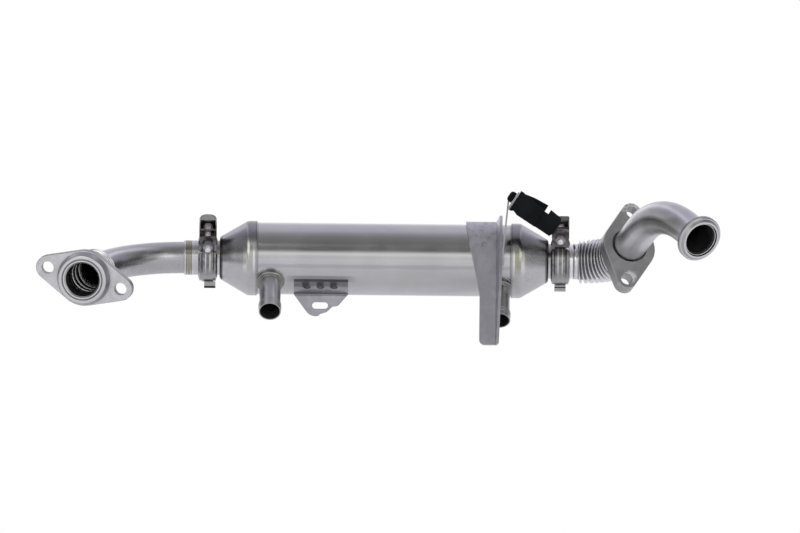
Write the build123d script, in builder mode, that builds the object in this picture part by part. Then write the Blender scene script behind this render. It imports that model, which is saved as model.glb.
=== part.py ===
from build123d import *
import os
from math import asin, cos, degrees, radians, sin, sqrt, tan

os.makedirs("parts", exist_ok=True)

# Exhaust gas cooler: a round shell with a bundle of gas tubes, conical end caps,
# V-band clamps, a bent inlet pipe and an outlet bellows with an elbow.
# Millimetres. X runs along the shell, -Y points at the viewer, +Z is up.
# The origin is the middle of the shell, on its axis.

# Fits
braze_gap = 0.05
slip_gap = 0.1

# Shell
shell_od = 63.5
shell_wall = 1.5
shell_showing = 225.0
cap_overlap = 6.0
shell_r = shell_od / 2
shell_ir = shell_r - shell_wall
shell_length = shell_showing + 2 * cap_overlap

# Tube bundle
tube_od = 9.0
tube_wall = 0.6
tube_rings = 2
bundle_gap = 2.55
tube_pitch = (shell_ir - bundle_gap - tube_od / 2) / tube_rings
tube_stub = 1.0
sheet_thickness = 3.0
sheet_recess = 4.0
plate_thickness = 1.5
plate_cut_share = 0.72

# Neck, V flanges and clamp position
neck_od = 30.6
neck_wall = 1.2
neck_r = neck_od / 2
neck_ir = neck_r - neck_wall
v_tip_r = 18.4
v_tip_half = 6.2
v_flank_angle = 20.0
gasket_thickness = 0.8
gasket_land = 2.2
v_root_half = v_tip_half + (v_tip_r - neck_r) * tan(radians(v_flank_angle))
v_face = gasket_thickness / 2

# End caps
cap_wall = 1.2
cap_rim = 8.0
cap_nose_step = 3.1
cone_angle = 30.3
cap_shoulder_bend = 6.0
cap_nose_bend = 3.2
neck_run = 10.5
cap_edge = shell_showing / 2
cap_r = shell_r + braze_gap + cap_wall
nose_r = neck_r + cap_nose_step
cone_length = (cap_r - nose_r) / tan(radians(cone_angle))
clamp_x = cap_edge + cap_rim + cone_length + neck_run

# Coolant nozzles
nozzle_od = 18.8
nozzle_wall = 1.0
nozzle_tip_length = 9.0
nozzle_tip_swell = 0.4
nozzle_tip_taper = 1.2
left_nozzle_inset = 11.9
right_nozzle_inset = 10.1
left_nozzle_drop_angle = 39.2
right_nozzle_drop_angle = 49.0
left_nozzle_length = 42.45
right_nozzle_length = 38.35
collar_wall = 2.7
collar_height = 3.25
collar_chamfer = 0.8
nozzle_r = nozzle_od / 2
collar_top = shell_r + collar_height
nozzle_x = {"left": left_nozzle_inset - cap_edge, "right": cap_edge - right_nozzle_inset}
nozzle_drop = {"left": left_nozzle_drop_angle, "right": right_nozzle_drop_angle}
nozzle_reach = {"left": shell_r + left_nozzle_length, "right": shell_r + right_nozzle_length}

# Clamps
segment_sheet = 1.4
segment_crown_gap = 0.6
segment_leg_r = 16.6
left_bolt_angle = 45.0
right_bolt_angle = 25.0
segment_gap_front_angle = 34.0
segment_gap_rear_angle = 12.0
segment_gap_bottom_angle = 3.0
strap_sheet = 0.8
strap_width = 9.6
hardware_width = 15.0
hardware_sheet = 1.2
bolt_radius_out = 27.0
lug_back = 10.0
lug_top = 36.0
lug_corner = 3.0
saddle_start = 3.0
saddle_depth = 12.0
saddle_seat_top = 31.0
left_saddle_top = 39.4
right_saddle_top = 37.2
saddle_width = 15.4
left_saddle_round = 6.4
right_saddle_round = 1.2
saddle_hood_depth = 4.4
bolt_d = 5.0
bolt_head_flats = 8.0
bolt_head_height = 6.5
bolt_flange_d = 9.6
bolt_flange_height = 1.5
bolt_tip_reach = 18.4
bolt_tip_chamfer = 0.6
nut_flats = 8.0
nut_height = 4.6
tab_width = 10.0
tab_reach = 5.6
tab_depth = 7.0
tab_sheet = 1.4
left_tab_shift = 2.0
right_tab_shift = 0.0

# Gas inlet: sleeve, bent pipe, bellows, spigot and flange on the left
pipe_od = 28.0
pipe_wall = 1.2
pipe_setback = 2.0
left_sleeve_length = 20.5
left_bend_lead = 17.5
left_bend_radius = 86.0
left_bend_angle = 68.0
left_bend_tilt_angle = 12.1
left_flange_turn_angle = 102.0
left_flange_rise_angle = -10.2
left_bellows_length = 28.5
left_bolt_line_angle = -16.0
pipe_r = pipe_od / 2
pipe_start = clamp_x + v_face + pipe_setback
left_sleeve_end = clamp_x + left_sleeve_length
left_bend_start = clamp_x + left_bend_lead

# Bellows
bellows_crest_r = 19.5
bellows_root_r = 15.8
bellows_sheet = 0.5
bellows_cuff = 4.0
bellows_cuff_blend = 0.6
bellows_root_share = 0.28
bellows_crest_share = 0.36
bellows_side_share = 0.7
left_convolutions = 7
right_convolutions = 11

# Left flange and its spigot
flange_bolt_spacing = 68.0
flange_hole_d = 11.0
left_flange_thickness = 8.0
left_flange_hub_r = 24.8
left_flange_lobe_r = 10.6
flange_edge_round = 0.8
spigot_bore_r = 15.0
spigot_tail_r = 16.8
spigot_tail_length = 3.0
spigot_base_r = 23.8
spigot_nose_r = 21.4
spigot_height = 8.0
spigot_base_height = 2.0
spigot_nose_round = 1.6
spigot_groove_r = 18.0
spigot_groove_half = 0.7
spigot_groove_depth = 0.8
spigot_mouth_chamfer = 1.2

# Gas outlet: sleeve, bellows, flange, elbow and end ring on the right
right_sleeve_length = 15.5
right_flange_out = 57.7
right_flange_forward = 27.0
right_flange_up = 9.9
right_flange_turn_angle = 68.2
right_flange_rise_angle = 26.8
right_bellows_lead = 15.0
right_flange_thickness = 10.5
right_flange_hub_r = 24.0
right_flange_lobe_r = 9.2
right_flange_recess = 1.4
right_flange_recess_angle = 22.5
right_bolt_line_angle = 76.1
elbow_od = 29.4
elbow_wall = 1.0
elbow_tail = 3.0
elbow_first_run = 79.9
elbow_second_run = 74.7
elbow_bend_radius = 100.0
elbow_end_turn_angle = 57.1
elbow_end_rise_angle = -24.3
ring_r = 21.0
ring_mouth_r = 15.9
ring_thickness = 5.7
ring_mouth_depth = 3.6
ring_pocket_depth = 4.0
ring_collar_drop = 1.6
ring_collar_wall = 0.5
ring_lip_width = 1.7
ring_lip_height = 2.0
ring_edge_chamfer = 0.9
ring_back_slope = 1.6
elbow_r = elbow_od / 2
right_sleeve_end = clamp_x + right_sleeve_length

# Slotted bracket
slotted_sheet = 2.0
slotted_from_angle = 37.0
slotted_to_angle = 66.0
slotted_inset = 32.9
slotted_length = 48.0
slotted_shoulder_rise = 0.15
slotted_drop = 19.05
slotted_heel_from = 14.2
slotted_heel_round = 10.0
slotted_toe_from = 21.6
slotted_toe_step = 1.8
slotted_toe_round = 0.8
slotted_bend = 1.0
slotted_rise_from = 29.6
slotted_rise_drop = 15.2
slotted_rise_round = 3.0
slotted_step_from = 39.2
slotted_step_drop = 9.95
slotted_step_run = 5.0
slotted_step_fall = 0.7
slotted_step_round = 1.6
slotted_fold_round = 3.0
slot_from = 23.4
slot_drop = 9.55
slot_length = 14.0
slot_width = 5.6
dimple_pitch = 12.0
dimple_from = 23.7
dimple_place_angle = 47.0
dimple_d = 6.4
dimple_depth = 1.3
dimple_taper_angle = 15.0
slotted_left = slotted_inset - cap_edge
slotted_right = slotted_left + slotted_length
slotted_shoulder = slotted_shoulder_rise - shell_r
slotted_tip = -shell_r - slotted_drop
slotted_toe_x = slotted_left + slotted_toe_from
slotted_step_x = slotted_left + slotted_step_from
slotted_step_z = -shell_r - slotted_step_drop

# Support bracket
support_sheet = 2.5
support_wrap_angle = -24.0
support_leg_angle = 30.0
support_leg_drop = 43.25
support_inset = 12.1
support_top_width = 28.3
support_foot_width = 15.5
support_taper_rise = 2.25
support_taper_fall = 0.75
support_foot_round = 5.0
support_taper_bend = 4.0
support_flange_height = 5.6
support_flange_splay_angle = 16.5
support_flange_foot = 1.2
support_flange_hold_share = 0.42
support_right = cap_edge - support_inset
support_left_top = support_right - support_top_width
support_left_low = support_right - support_foot_width
support_taper_top = shell_r + support_taper_rise
support_taper_low = support_taper_fall - shell_r
support_leg_foot = -shell_r - support_leg_drop

# Connector bracket and connector
strip_sheet = 1.5
strip_forward = 4.25
strip_width = 16.0
strip_low = -4.0
strip_bend = 10.0
strip_ear_rise = 13.85
strip_top_rise = 23.25
strip_finger = 2.6
strip_lean_angle = 5.6
ear_start = 0.5
ear_length = 17.4
ear_angle = 57.0
connector_inset = 9.0
connector_width = 20.0
connector_round = 1.2
housing_length = 27.3
housing_low = 9.2
housing_back = 9.0
housing_notch_length = 3.9
housing_notch = 1.6
housing_lip_length = 3.4
housing_lip_top = 10.9
housing_lip_foot = 4.4
housing_top = 10.5
housing_ramp_top = 12.4
housing_top_end = 13.5
housing_lead = 8.6
latch_floor = 8.4
latch_width = 9.0
shroud_length = 17.4
shroud_gap = 4.0
shroud_top = 11.5
shroud_side = 8.8
shroud_chamfer = 4.2
socket_depth = 11.0
socket_wall = 2.2
pin_size = 1.6
pin_length = 5.0
pin_pitch = 5.0
clip_r = 5.0
clip_height = 5.4
clip_offset = 1.9
clip_stem_r = 2.6
clip_round = 3.0
strip_back_y = -shell_r - strip_forward
strip_front_y = strip_back_y - strip_width
strip_ear_z = shell_r + strip_ear_rise
strip_top = shell_r + strip_top_rise
connector_y = strip_back_y - connector_inset


def direction(turn, rise):
    """Unit vector turned from +X towards the viewer, then lifted, both in degrees."""
    flat = cos(radians(rise))
    return Vector(flat * cos(radians(turn)), -flat * sin(radians(turn)), sin(radians(rise)))


def profile_plane(origin, along):
    """Plane whose local X is radial and whose local Y runs along the given direction."""
    along = Vector(along).normalized()
    radial = along.cross(Vector(0, 0, 1)).normalized()
    return Plane(origin=origin, x_dir=radial, z_dir=radial.cross(along))


def clamp_radial(angle):
    """Unit vector out from the shell axis, turned from the top towards the viewer."""
    return Vector(0, -sin(radians(angle)), cos(radians(angle)))


def clamp_plane(x, angle):
    """Plane with local X along the shell and local Y radial at the angle."""
    radial = clamp_radial(angle)
    return Plane(origin=(x, 0, 0), x_dir=(1, 0, 0), z_dir=Vector(1, 0, 0).cross(radial))


def tube_centres():
    """Centres of a hexagonal pack, ring by ring, as points across the shell."""
    points = []
    for row in range(-tube_rings, tube_rings + 1):
        for column in range(-tube_rings, tube_rings + 1):
            if abs(row + column) <= tube_rings:
                across = tube_pitch * (column + row / 2)
                points.append((across, tube_pitch * row * sqrt(3) / 2))
    return points


def finish(solid, name):
    """Label a finished piece and write it to its own file."""
    solid.label = name
    export_step(solid, f"parts/{name}.step")


# Shell with one port under each nozzle
with BuildPart() as shell:
    with BuildSketch(Plane.YZ.offset(-shell_length / 2)):
        Circle(shell_r)
        Circle(shell_ir, mode=Mode.SUBTRACT)
    extrude(amount=shell_length)
    for side in nozzle_x:
        nozzle_aim = direction(90, -nozzle_drop[side])
        with BuildSketch(Plane(origin=(nozzle_x[side], 0, 0), z_dir=nozzle_aim)):
            Circle(nozzle_r + braze_gap)
        extrude(amount=shell_od, mode=Mode.SUBTRACT)
finish(shell.part, "shell")


def end_cap(side):
    """Conical cap with a rim over the shell end and a V flange on its neck."""
    rim_end = cap_edge + cap_rim
    nose = rim_end + cone_length
    inner_nose = nose - cap_wall
    cone_lean = radians(cone_angle)
    inner_nose_r = nose_r + cap_wall * tan(cone_lean) - cap_wall / cos(cone_lean)
    inner_rim_end = rim_end - cap_wall * tan(radians(cone_angle / 2))
    with BuildPart() as cap:
        with BuildSketch(Plane.XZ):
            with BuildLine():
                outer = FilletPolyline(
                    (side * cap_edge, cap_r),
                    (side * rim_end, cap_r),
                    (side * nose, nose_r),
                    (side * nose, neck_r),
                    radius=[cap_shoulder_bend, cap_nose_bend],
                )
                Polyline(
                    outer @ 1,
                    (side * (clamp_x - v_root_half), neck_r),
                    (side * (clamp_x - v_tip_half), v_tip_r),
                    (side * (clamp_x - v_face), v_tip_r),
                    (side * (clamp_x - v_face), 0),
                    (side * cap_edge, 0),
                    outer @ 0,
                )
            make_face()
        revolve(axis=Axis.X)
        with BuildSketch(Plane.XZ):
            with BuildLine():
                inner = FilletPolyline(
                    (side * cap_edge, cap_r - cap_wall),
                    (side * inner_rim_end, cap_r - cap_wall),
                    (side * inner_nose, inner_nose_r),
                    (side * inner_nose, neck_ir),
                    radius=[cap_shoulder_bend - cap_wall, cap_nose_bend - cap_wall],
                )
                Polyline(
                    inner @ 1,
                    (side * clamp_x, neck_ir),
                    (side * clamp_x, 0),
                    (side * cap_edge, 0),
                    inner @ 0,
                )
            make_face()
        revolve(axis=Axis.X, mode=Mode.SUBTRACT)
    return cap.part


finish(end_cap(-1), "left_end_cap")
finish(end_cap(1), "right_end_cap")

# Tube sheets, tubes and the mid support plate
sheet_face = shell_length / 2 - sheet_recess
tube_length = 2 * (sheet_face + tube_stub)


def tube_sheet(side):
    """Round header that the tubes pass through."""
    with BuildPart() as sheet:
        with BuildSketch(Plane.YZ.offset(side * sheet_face)):
            Circle(shell_ir - braze_gap)
            with Locations(*tube_centres()):
                Circle(tube_od / 2 + braze_gap, mode=Mode.SUBTRACT)
        extrude(amount=-side * sheet_thickness)
    return sheet.part


finish(tube_sheet(-1), "left_tube_sheet")
finish(tube_sheet(1), "right_tube_sheet")

with BuildPart() as support_plate:
    with BuildSketch(Plane.YZ.offset(-plate_thickness / 2)):
        Circle(shell_ir - slip_gap)
        with Locations(*tube_centres()):
            Circle(tube_od / 2 + slip_gap, mode=Mode.SUBTRACT)
        with Locations((0, plate_cut_share * shell_od)):
            Rectangle(shell_od, shell_od, mode=Mode.SUBTRACT)
    extrude(amount=plate_thickness)
finish(support_plate.part, "support_plate")

for number, centre in enumerate(tube_centres(), start=1):
    with BuildPart() as gas_tube:
        with BuildSketch(Plane.YZ.offset(-tube_length / 2)):
            with Locations(centre):
                Circle(tube_od / 2)
                Circle(tube_od / 2 - tube_wall, mode=Mode.SUBTRACT)
        extrude(amount=tube_length)
    finish(gas_tube.part, f"gas_tube_{number:02d}")


# Coolant nozzles and the collars that braze them to the shell
def coolant_nozzle(x, aim, reach):
    """Hose nozzle with a swollen tip, trimmed flush inside the shell wall."""
    tip_start = reach - nozzle_tip_length
    with BuildPart() as nozzle:
        with BuildSketch(profile_plane((x, 0, 0), aim)):
            with BuildLine():
                Polyline(
                    (nozzle_r - nozzle_wall, shell_ir / 2),
                    (nozzle_r, shell_ir / 2),
                    (nozzle_r, tip_start),
                    (nozzle_r + nozzle_tip_swell, tip_start + nozzle_tip_taper),
                    (nozzle_r + nozzle_tip_swell, reach),
                    (nozzle_r + nozzle_tip_swell - nozzle_wall, reach),
                    (nozzle_r + nozzle_tip_swell - nozzle_wall, tip_start + nozzle_tip_taper),
                    (nozzle_r - nozzle_wall, tip_start),
                    close=True,
                )
            make_face()
        revolve(axis=Axis((x, 0, 0), aim))
        with BuildSketch(Plane.YZ.offset(x - shell_od)):
            Circle(shell_ir)
        extrude(amount=2 * shell_od, mode=Mode.SUBTRACT)
    return nozzle.part


def nozzle_collar(x, aim):
    """Ring round the nozzle, its foot cut to the shell and its side to the cap edge."""
    bore_r = nozzle_r + braze_gap
    with BuildPart() as collar:
        with BuildSketch(Plane(origin=(x, 0, 0), z_dir=aim)):
            Circle(bore_r + collar_wall)
            Circle(bore_r, mode=Mode.SUBTRACT)
        extrude(amount=collar_top)
        chamfer(collar.edges().group_by(Axis((x, 0, 0), aim))[-1].sort_by(SortBy.RADIUS)[-1],
                collar_chamfer)
        with BuildSketch(Plane.YZ.offset(x - shell_od)):
            Circle(shell_r + braze_gap)
        extrude(amount=2 * shell_od, mode=Mode.SUBTRACT)
        for end in (-1, 1):
            with BuildSketch(Plane.YZ.offset(end * (cap_edge - slip_gap))):
                Rectangle(2 * shell_od, 2 * shell_od)
            extrude(amount=end * shell_od, mode=Mode.SUBTRACT)
    return collar.part


for side in nozzle_x:
    nozzle_aim = direction(90, -nozzle_drop[side])
    finish(coolant_nozzle(nozzle_x[side], nozzle_aim, nozzle_reach[side]), f"{side}_coolant_nozzle")
    finish(nozzle_collar(nozzle_x[side], nozzle_aim), f"{side}_nozzle_collar")


# V-flanged sleeves, gaskets
def sleeve(side, end):
    """Short tube with a V flange that faces the end cap."""
    with BuildPart() as tube:
        with BuildSketch(Plane.XZ):
            with BuildLine():
                Polyline(
                    (side * (clamp_x + v_face), neck_ir),
                    (side * (clamp_x + v_face), v_tip_r),
                    (side * (clamp_x + v_tip_half), v_tip_r),
                    (side * (clamp_x + v_root_half), neck_r),
                    (side * end, neck_r),
                    (side * end, neck_ir),
                    close=True,
                )
            make_face()
        revolve(axis=Axis.X)
    return tube.part


def joint_gasket(side):
    """Flat ring between the two V flanges of a joint."""
    with BuildPart() as gasket:
        with BuildSketch(Plane.YZ.offset(side * clamp_x)):
            Circle(neck_ir + gasket_land)
            Circle(neck_ir, mode=Mode.SUBTRACT)
        extrude(amount=gasket_thickness / 2, both=True)
    return gasket.part


finish(sleeve(-1, left_sleeve_end), "left_sleeve")
finish(sleeve(1, right_sleeve_end), "right_sleeve")
finish(joint_gasket(-1), "left_joint_gasket")
finish(joint_gasket(1), "right_joint_gasket")

# V-band clamps
crown_in = v_tip_r + segment_crown_gap
crown_out = crown_in + segment_sheet
strap_r = crown_out + strap_sheet
slope = tan(radians(v_flank_angle))
leg_offset = segment_sheet / cos(radians(v_flank_angle))


def leg_half(radius):
    """Half width inside a clamp segment at a radius, parallel to the V flanges."""
    return v_tip_half + slip_gap + (v_tip_r - radius) * slope


def clamp_segment(x, start, sweep_angle):
    """Channel that wedges the two V flanges together over part of the circle."""
    inside = [(leg_half(crown_in), crown_in), (leg_half(segment_leg_r), segment_leg_r)]
    outside = [
        (leg_half(segment_leg_r) + leg_offset, segment_leg_r),
        (leg_half(crown_out) + leg_offset, crown_out),
    ]
    half = inside + outside
    with BuildPart() as segment:
        with BuildSketch(clamp_plane(x, start)):
            with BuildLine():
                Polyline(*half, *[(-across, out) for across, out in reversed(half)], close=True)
            make_face()
        revolve(axis=Axis.X, revolution_arc=sweep_angle)
    return segment.part


def clamp_strap(x, bolt_angle, shift):
    """Strap over the segments, its front end folded out into the bolt lug."""
    start = bolt_angle + degrees(asin(lug_back / strap_r))
    stop = 360 + bolt_angle - degrees(asin(saddle_start / strap_r))
    lug_foot = sqrt(strap_r**2 - lug_back**2) - strap_sheet
    lug_face = clamp_plane(x, bolt_angle).offset(lug_back)
    with BuildPart() as strap:
        with BuildSketch(clamp_plane(x, start)):
            with Locations((0, (crown_out + strap_r) / 2)):
                Rectangle(strap_width, strap_sheet)
        revolve(axis=Axis.X, revolution_arc=stop - start)
        with BuildSketch(lug_face) as lug_outline:
            with Locations((0, (lug_foot + lug_top) / 2)):
                Rectangle(hardware_width, lug_top - lug_foot)
            fillet(lug_outline.vertices().group_by(Axis.Y)[-1], lug_corner)
            with Locations((0, bolt_radius_out)):
                Circle(bolt_d / 2 + slip_gap, mode=Mode.SUBTRACT)
        extrude(amount=-hardware_sheet)
        with BuildSketch(Plane.YZ.offset(x + shift - tab_width / 2)):
            with BuildLine():
                Polyline(
                    (tab_depth / 2, -crown_out - strap_sheet / 2),
                    (tab_depth / 2, -strap_r - tab_reach),
                    (-tab_depth / 2, -strap_r - tab_reach),
                    (-tab_depth / 2, -strap_r - tab_reach + tab_sheet),
                    (tab_depth / 2 - tab_sheet, -strap_r - tab_reach + tab_sheet),
                    (tab_depth / 2 - tab_sheet, -crown_out - strap_sheet / 2),
                    close=True,
                )
            make_face()
        extrude(amount=tab_width)
    return strap.part


def clamp_saddle(x, bolt_angle, back_top, corner_r):
    """Open box of folded sheet on the strap that seats the bolt head."""
    foot = strap_r + braze_gap
    floor = foot + hardware_sheet
    rearward = Vector(0, cos(radians(bolt_angle)), sin(radians(bolt_angle)))
    hinge_plane = Plane(origin=(x, 0, 0), x_dir=rearward, z_dir=(1, 0, 0))
    far = saddle_start + saddle_depth
    hood = saddle_depth - saddle_hood_depth
    roof_slope = (back_top - saddle_seat_top) / saddle_depth
    roof_drop = hardware_sheet * sqrt(1 + roof_slope**2)
    hood_under = saddle_seat_top + hood * roof_slope - roof_drop
    back_under = back_top - hardware_sheet * roof_slope - roof_drop
    with BuildPart() as saddle:
        with BuildSketch(hinge_plane):
            with BuildLine():
                Polyline(
                    (saddle_start, 0),
                    (saddle_start, saddle_seat_top),
                    (far, back_top),
                    (far, 0),
                    close=True,
                )
            make_face()
        extrude(amount=saddle_width / 2, both=True)
        with BuildSketch(hinge_plane):
            Circle(foot)
        extrude(amount=saddle_width, both=True, mode=Mode.SUBTRACT)
        with BuildSketch(hinge_plane):
            with BuildLine():
                Polyline(
                    (saddle_start + hardware_sheet, 0),
                    (saddle_start + hardware_sheet, back_top),
                    (saddle_start + hood, back_top),
                    (saddle_start + hood, hood_under),
                    (far - hardware_sheet, back_under),
                    (far - hardware_sheet, 0),
                    close=True,
                )
            make_face()
            Circle(floor, mode=Mode.SUBTRACT)
        extrude(amount=saddle_width / 2 - hardware_sheet, both=True, mode=Mode.SUBTRACT)
        with BuildSketch(clamp_plane(x, bolt_angle)) as dome_outline:
            with Locations((0, back_top / 2)):
                Rectangle(saddle_width, back_top)
            fillet(dome_outline.vertices().group_by(Axis.Y)[-1], corner_r)
        extrude(amount=-2 * saddle_depth, mode=Mode.INTERSECT)
        with BuildSketch(clamp_plane(x, bolt_angle)):
            with Locations((0, bolt_radius_out)):
                Circle(bolt_d / 2 + slip_gap)
        extrude(amount=-saddle_start - 2 * hardware_sheet, mode=Mode.SUBTRACT)
    return saddle.part


def clamp_bolt(x, bolt_angle):
    """Flanged hex bolt from the saddle to past the nut on the lug."""
    bolt_plane = clamp_plane(x, bolt_angle)
    seat = -saddle_start - hardware_sheet - slip_gap
    with BuildPart() as bolt:
        with BuildSketch(bolt_plane.offset(bolt_tip_reach)):
            with Locations((0, bolt_radius_out)):
                Circle(bolt_d / 2)
        extrude(amount=seat - bolt_tip_reach)
        chamfer(bolt.edges().sort_by(Axis((0, 0, 0), bolt_plane.z_dir))[-1], bolt_tip_chamfer)
        with BuildSketch(bolt_plane.offset(seat)):
            with Locations((0, bolt_radius_out)):
                Circle(bolt_flange_d / 2)
        extrude(amount=-bolt_flange_height)
        with BuildSketch(bolt_plane.offset(seat)):
            with Locations((0, bolt_radius_out)):
                RegularPolygon(bolt_head_flats / 2, 6, major_radius=False)
        extrude(amount=-bolt_flange_height - bolt_head_height)
    return bolt.part


def clamp_nut(x, bolt_angle):
    """Hex nut on the bolt, against the lug."""
    with BuildPart() as nut:
        with BuildSketch(clamp_plane(x, bolt_angle).offset(lug_back + slip_gap)):
            with Locations((0, bolt_radius_out)):
                RegularPolygon(nut_flats / 2, 6, major_radius=False)
                Circle(bolt_d / 2 + braze_gap, mode=Mode.SUBTRACT)
        extrude(amount=nut_height)
    return nut.part


for side, x, bolt_angle, tab_shift, saddle_top, saddle_round in (
    ("left", -clamp_x, left_bolt_angle, left_tab_shift, left_saddle_top, left_saddle_round),
    ("right", clamp_x, right_bolt_angle, right_tab_shift, right_saddle_top, right_saddle_round),
):
    front_start = bolt_angle + segment_gap_front_angle
    rear_start = 180 + segment_gap_bottom_angle
    rear_stop = 360 + bolt_angle - segment_gap_rear_angle
    finish(clamp_segment(x, front_start, 180 - segment_gap_bottom_angle - front_start),
           f"{side}_clamp_segment_front")
    finish(clamp_segment(x, rear_start, rear_stop - rear_start), f"{side}_clamp_segment_rear")
    finish(clamp_strap(x, bolt_angle, tab_shift), f"{side}_clamp_strap")
    finish(clamp_saddle(x, bolt_angle, saddle_top, saddle_round), f"{side}_clamp_saddle")
    finish(clamp_bolt(x, bolt_angle), f"{side}_clamp_bolt")
    finish(clamp_nut(x, bolt_angle), f"{side}_clamp_nut")


# Bellows: rings of alternating radius set square to a curved path
def bellows(path, convolutions, start_r, end_r):
    """Thin corrugated tube along a path, with a straight cuff beyond each end."""
    length = path.length
    wave = length / convolutions

    def section(distance):
        place = min(max(distance, 0), length)
        tangent = path.tangent_at(place, position_mode=PositionMode.LENGTH)
        centre = path.position_at(place, position_mode=PositionMode.LENGTH)
        across = tangent.cross(Vector(0, 0, 1))
        return Plane(origin=centre + tangent * (distance - place), x_dir=across, z_dir=tangent)

    def rings(inward):
        stations = [(-bellows_cuff, start_r - inward), (-bellows_cuff_blend, start_r - inward)]
        for turn in range(convolutions):
            middle = wave * (turn + 1 / 2)
            root = middle + wave / 2 * (1 - bellows_root_share) - inward * bellows_side_share
            crest = wave / 2 * bellows_crest_share - inward * bellows_side_share
            stations.append((2 * middle - root, bellows_root_r - inward))
            stations.append((middle - crest, bellows_crest_r - inward))
            stations.append((middle + crest, bellows_crest_r - inward))
            stations.append((root, bellows_root_r - inward))
        stations.append((length + bellows_cuff_blend, end_r - inward))
        stations.append((length + bellows_cuff, end_r - inward))
        return stations

    with BuildPart() as tube:
        for distance, radius in rings(0):
            with BuildSketch(section(distance)):
                Circle(radius)
        loft(ruled=True)
        with BuildPart(mode=Mode.PRIVATE) as core:
            for distance, radius in rings(bellows_sheet):
                with BuildSketch(section(distance)):
                    Circle(radius)
            loft(ruled=True)
        add(core.part, mode=Mode.SUBTRACT)
    return tube.part


# Left gas line
left_plane = Plane(
    origin=(-left_bend_start, 0, 0),
    x_dir=(-1, 0, 0),
    z_dir=Vector(-1, 0, 0).cross(direction(90, -left_bend_tilt_angle)),
)
with BuildPart() as left_pipe:
    with BuildLine(left_plane) as left_path:
        entry = Line((pipe_start - left_bend_start, 0), (0, 0))
        bend = JernArc(entry @ 1, entry % 1, left_bend_radius, left_bend_angle)
        exit_run = Line(bend @ 1, (bend @ 1) + (bend % 1) * bellows_cuff)
    with BuildSketch(Plane(origin=entry @ 0, z_dir=entry % 0)):
        Circle(pipe_r)
        Circle(pipe_r - pipe_wall, mode=Mode.SUBTRACT)
    sweep(path=left_path.wires()[0])
finish(left_pipe.part, "left_pipe")

left_aim = direction(left_flange_turn_angle, left_flange_rise_angle)
left_leave = exit_run % 1
left_curve = left_leave.get_angle(left_aim)
left_curve_radius = left_bellows_length / radians(left_curve)
left_curve_plane = Plane(origin=exit_run @ 1, x_dir=left_leave, z_dir=left_leave.cross(left_aim))
with BuildLine(left_curve_plane):
    left_curve_arc = JernArc((0, 0), (1, 0), left_curve_radius, left_curve)
left_flange_back = (left_curve_arc @ 1) + left_aim * bellows_cuff
left_bellows_in = pipe_r + braze_gap + bellows_sheet
left_bellows_out = spigot_tail_r + braze_gap + bellows_sheet
finish(
    bellows(left_curve_arc, left_convolutions, left_bellows_in, left_bellows_out),
    "left_bellows",
)
left_flange_front = left_flange_back + left_aim * left_flange_thickness


def flange_plane(origin, aim, lean):
    """Plane on a flange face whose local X is the bolt line, leant from level."""
    level = Vector(0, 0, 1).cross(aim).normalized()
    return Plane(origin=origin, x_dir=level.rotate(Axis((0, 0, 0), aim), lean), z_dir=aim)


def bolt_flange(plane, thickness, hub_r, lobe_r, bore_r, recess):
    """Two-bolt flange: a round hub run tangent into two bolt lobes."""
    with BuildPart() as flange:
        with BuildSketch(plane):
            Circle(hub_r)
            with Locations((flange_bolt_spacing / 2, 0), (-flange_bolt_spacing / 2, 0)):
                Circle(lobe_r)
            make_hull()
            Circle(bore_r, mode=Mode.SUBTRACT)
            with Locations((flange_bolt_spacing / 2, 0), (-flange_bolt_spacing / 2, 0)):
                Circle(flange_hole_d / 2, mode=Mode.SUBTRACT)
        extrude(amount=-thickness)
        front = flange.faces().sort_by(Axis(plane.origin, plane.z_dir))[-1]
        fillet(front.outer_wire().edges(), flange_edge_round)
        if recess:
            with BuildSketch(plane):
                Circle(bore_r + recess)
            extrude(amount=-2 * recess, taper=right_flange_recess_angle, mode=Mode.SUBTRACT)
    return flange.part


left_face = flange_plane(left_flange_front, left_aim, left_bolt_line_angle)
finish(
    bolt_flange(left_face, left_flange_thickness, left_flange_hub_r, left_flange_lobe_r,
                spigot_tail_r + braze_gap, 0),
    "left_flange",
)

with BuildPart() as left_spigot:
    with BuildSketch(profile_plane(left_flange_front, left_aim)):
        with BuildLine():
            Polyline(
                (spigot_bore_r, -left_flange_thickness - spigot_tail_length),
                (spigot_tail_r, -left_flange_thickness - spigot_tail_length),
                (spigot_tail_r, 0),
                (spigot_base_r, 0),
                (spigot_base_r, spigot_base_height),
                (spigot_nose_r, spigot_height),
                (spigot_groove_r + spigot_groove_half, spigot_height),
                (spigot_groove_r, spigot_height - spigot_groove_depth),
                (spigot_groove_r - spigot_groove_half, spigot_height),
                (spigot_bore_r + spigot_mouth_chamfer, spigot_height),
                (spigot_bore_r, spigot_height - spigot_mouth_chamfer),
                close=True,
            )
        make_face()
    revolve(axis=Axis(left_flange_front, left_aim))
    nose = left_spigot.edges().filter_by(GeomType.CIRCLE).filter_by(
        lambda edge: abs(edge.radius - spigot_nose_r) < slip_gap)
    fillet(nose, spigot_nose_round)
finish(left_spigot.part, "left_spigot")

# Right gas line
right_aim = direction(right_flange_turn_angle, right_flange_rise_angle)
right_back = Vector(clamp_x + right_flange_out, -right_flange_forward, right_flange_up)
right_front = right_back + right_aim * right_flange_thickness
right_root = Vector(right_sleeve_end, 0, 0)
right_cuff_foot = right_back - right_aim * bellows_cuff
with BuildLine():
    right_curve = Bezier(
        right_root,
        right_root + Vector(right_bellows_lead, 0, 0),
        right_cuff_foot - right_aim * right_bellows_lead,
        right_cuff_foot,
    )
right_bellows_in = neck_r + braze_gap + bellows_sheet
right_bellows_out = elbow_r + braze_gap + bellows_sheet
finish(
    bellows(right_curve, right_convolutions, right_bellows_in, right_bellows_out),
    "right_bellows",
)

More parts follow.
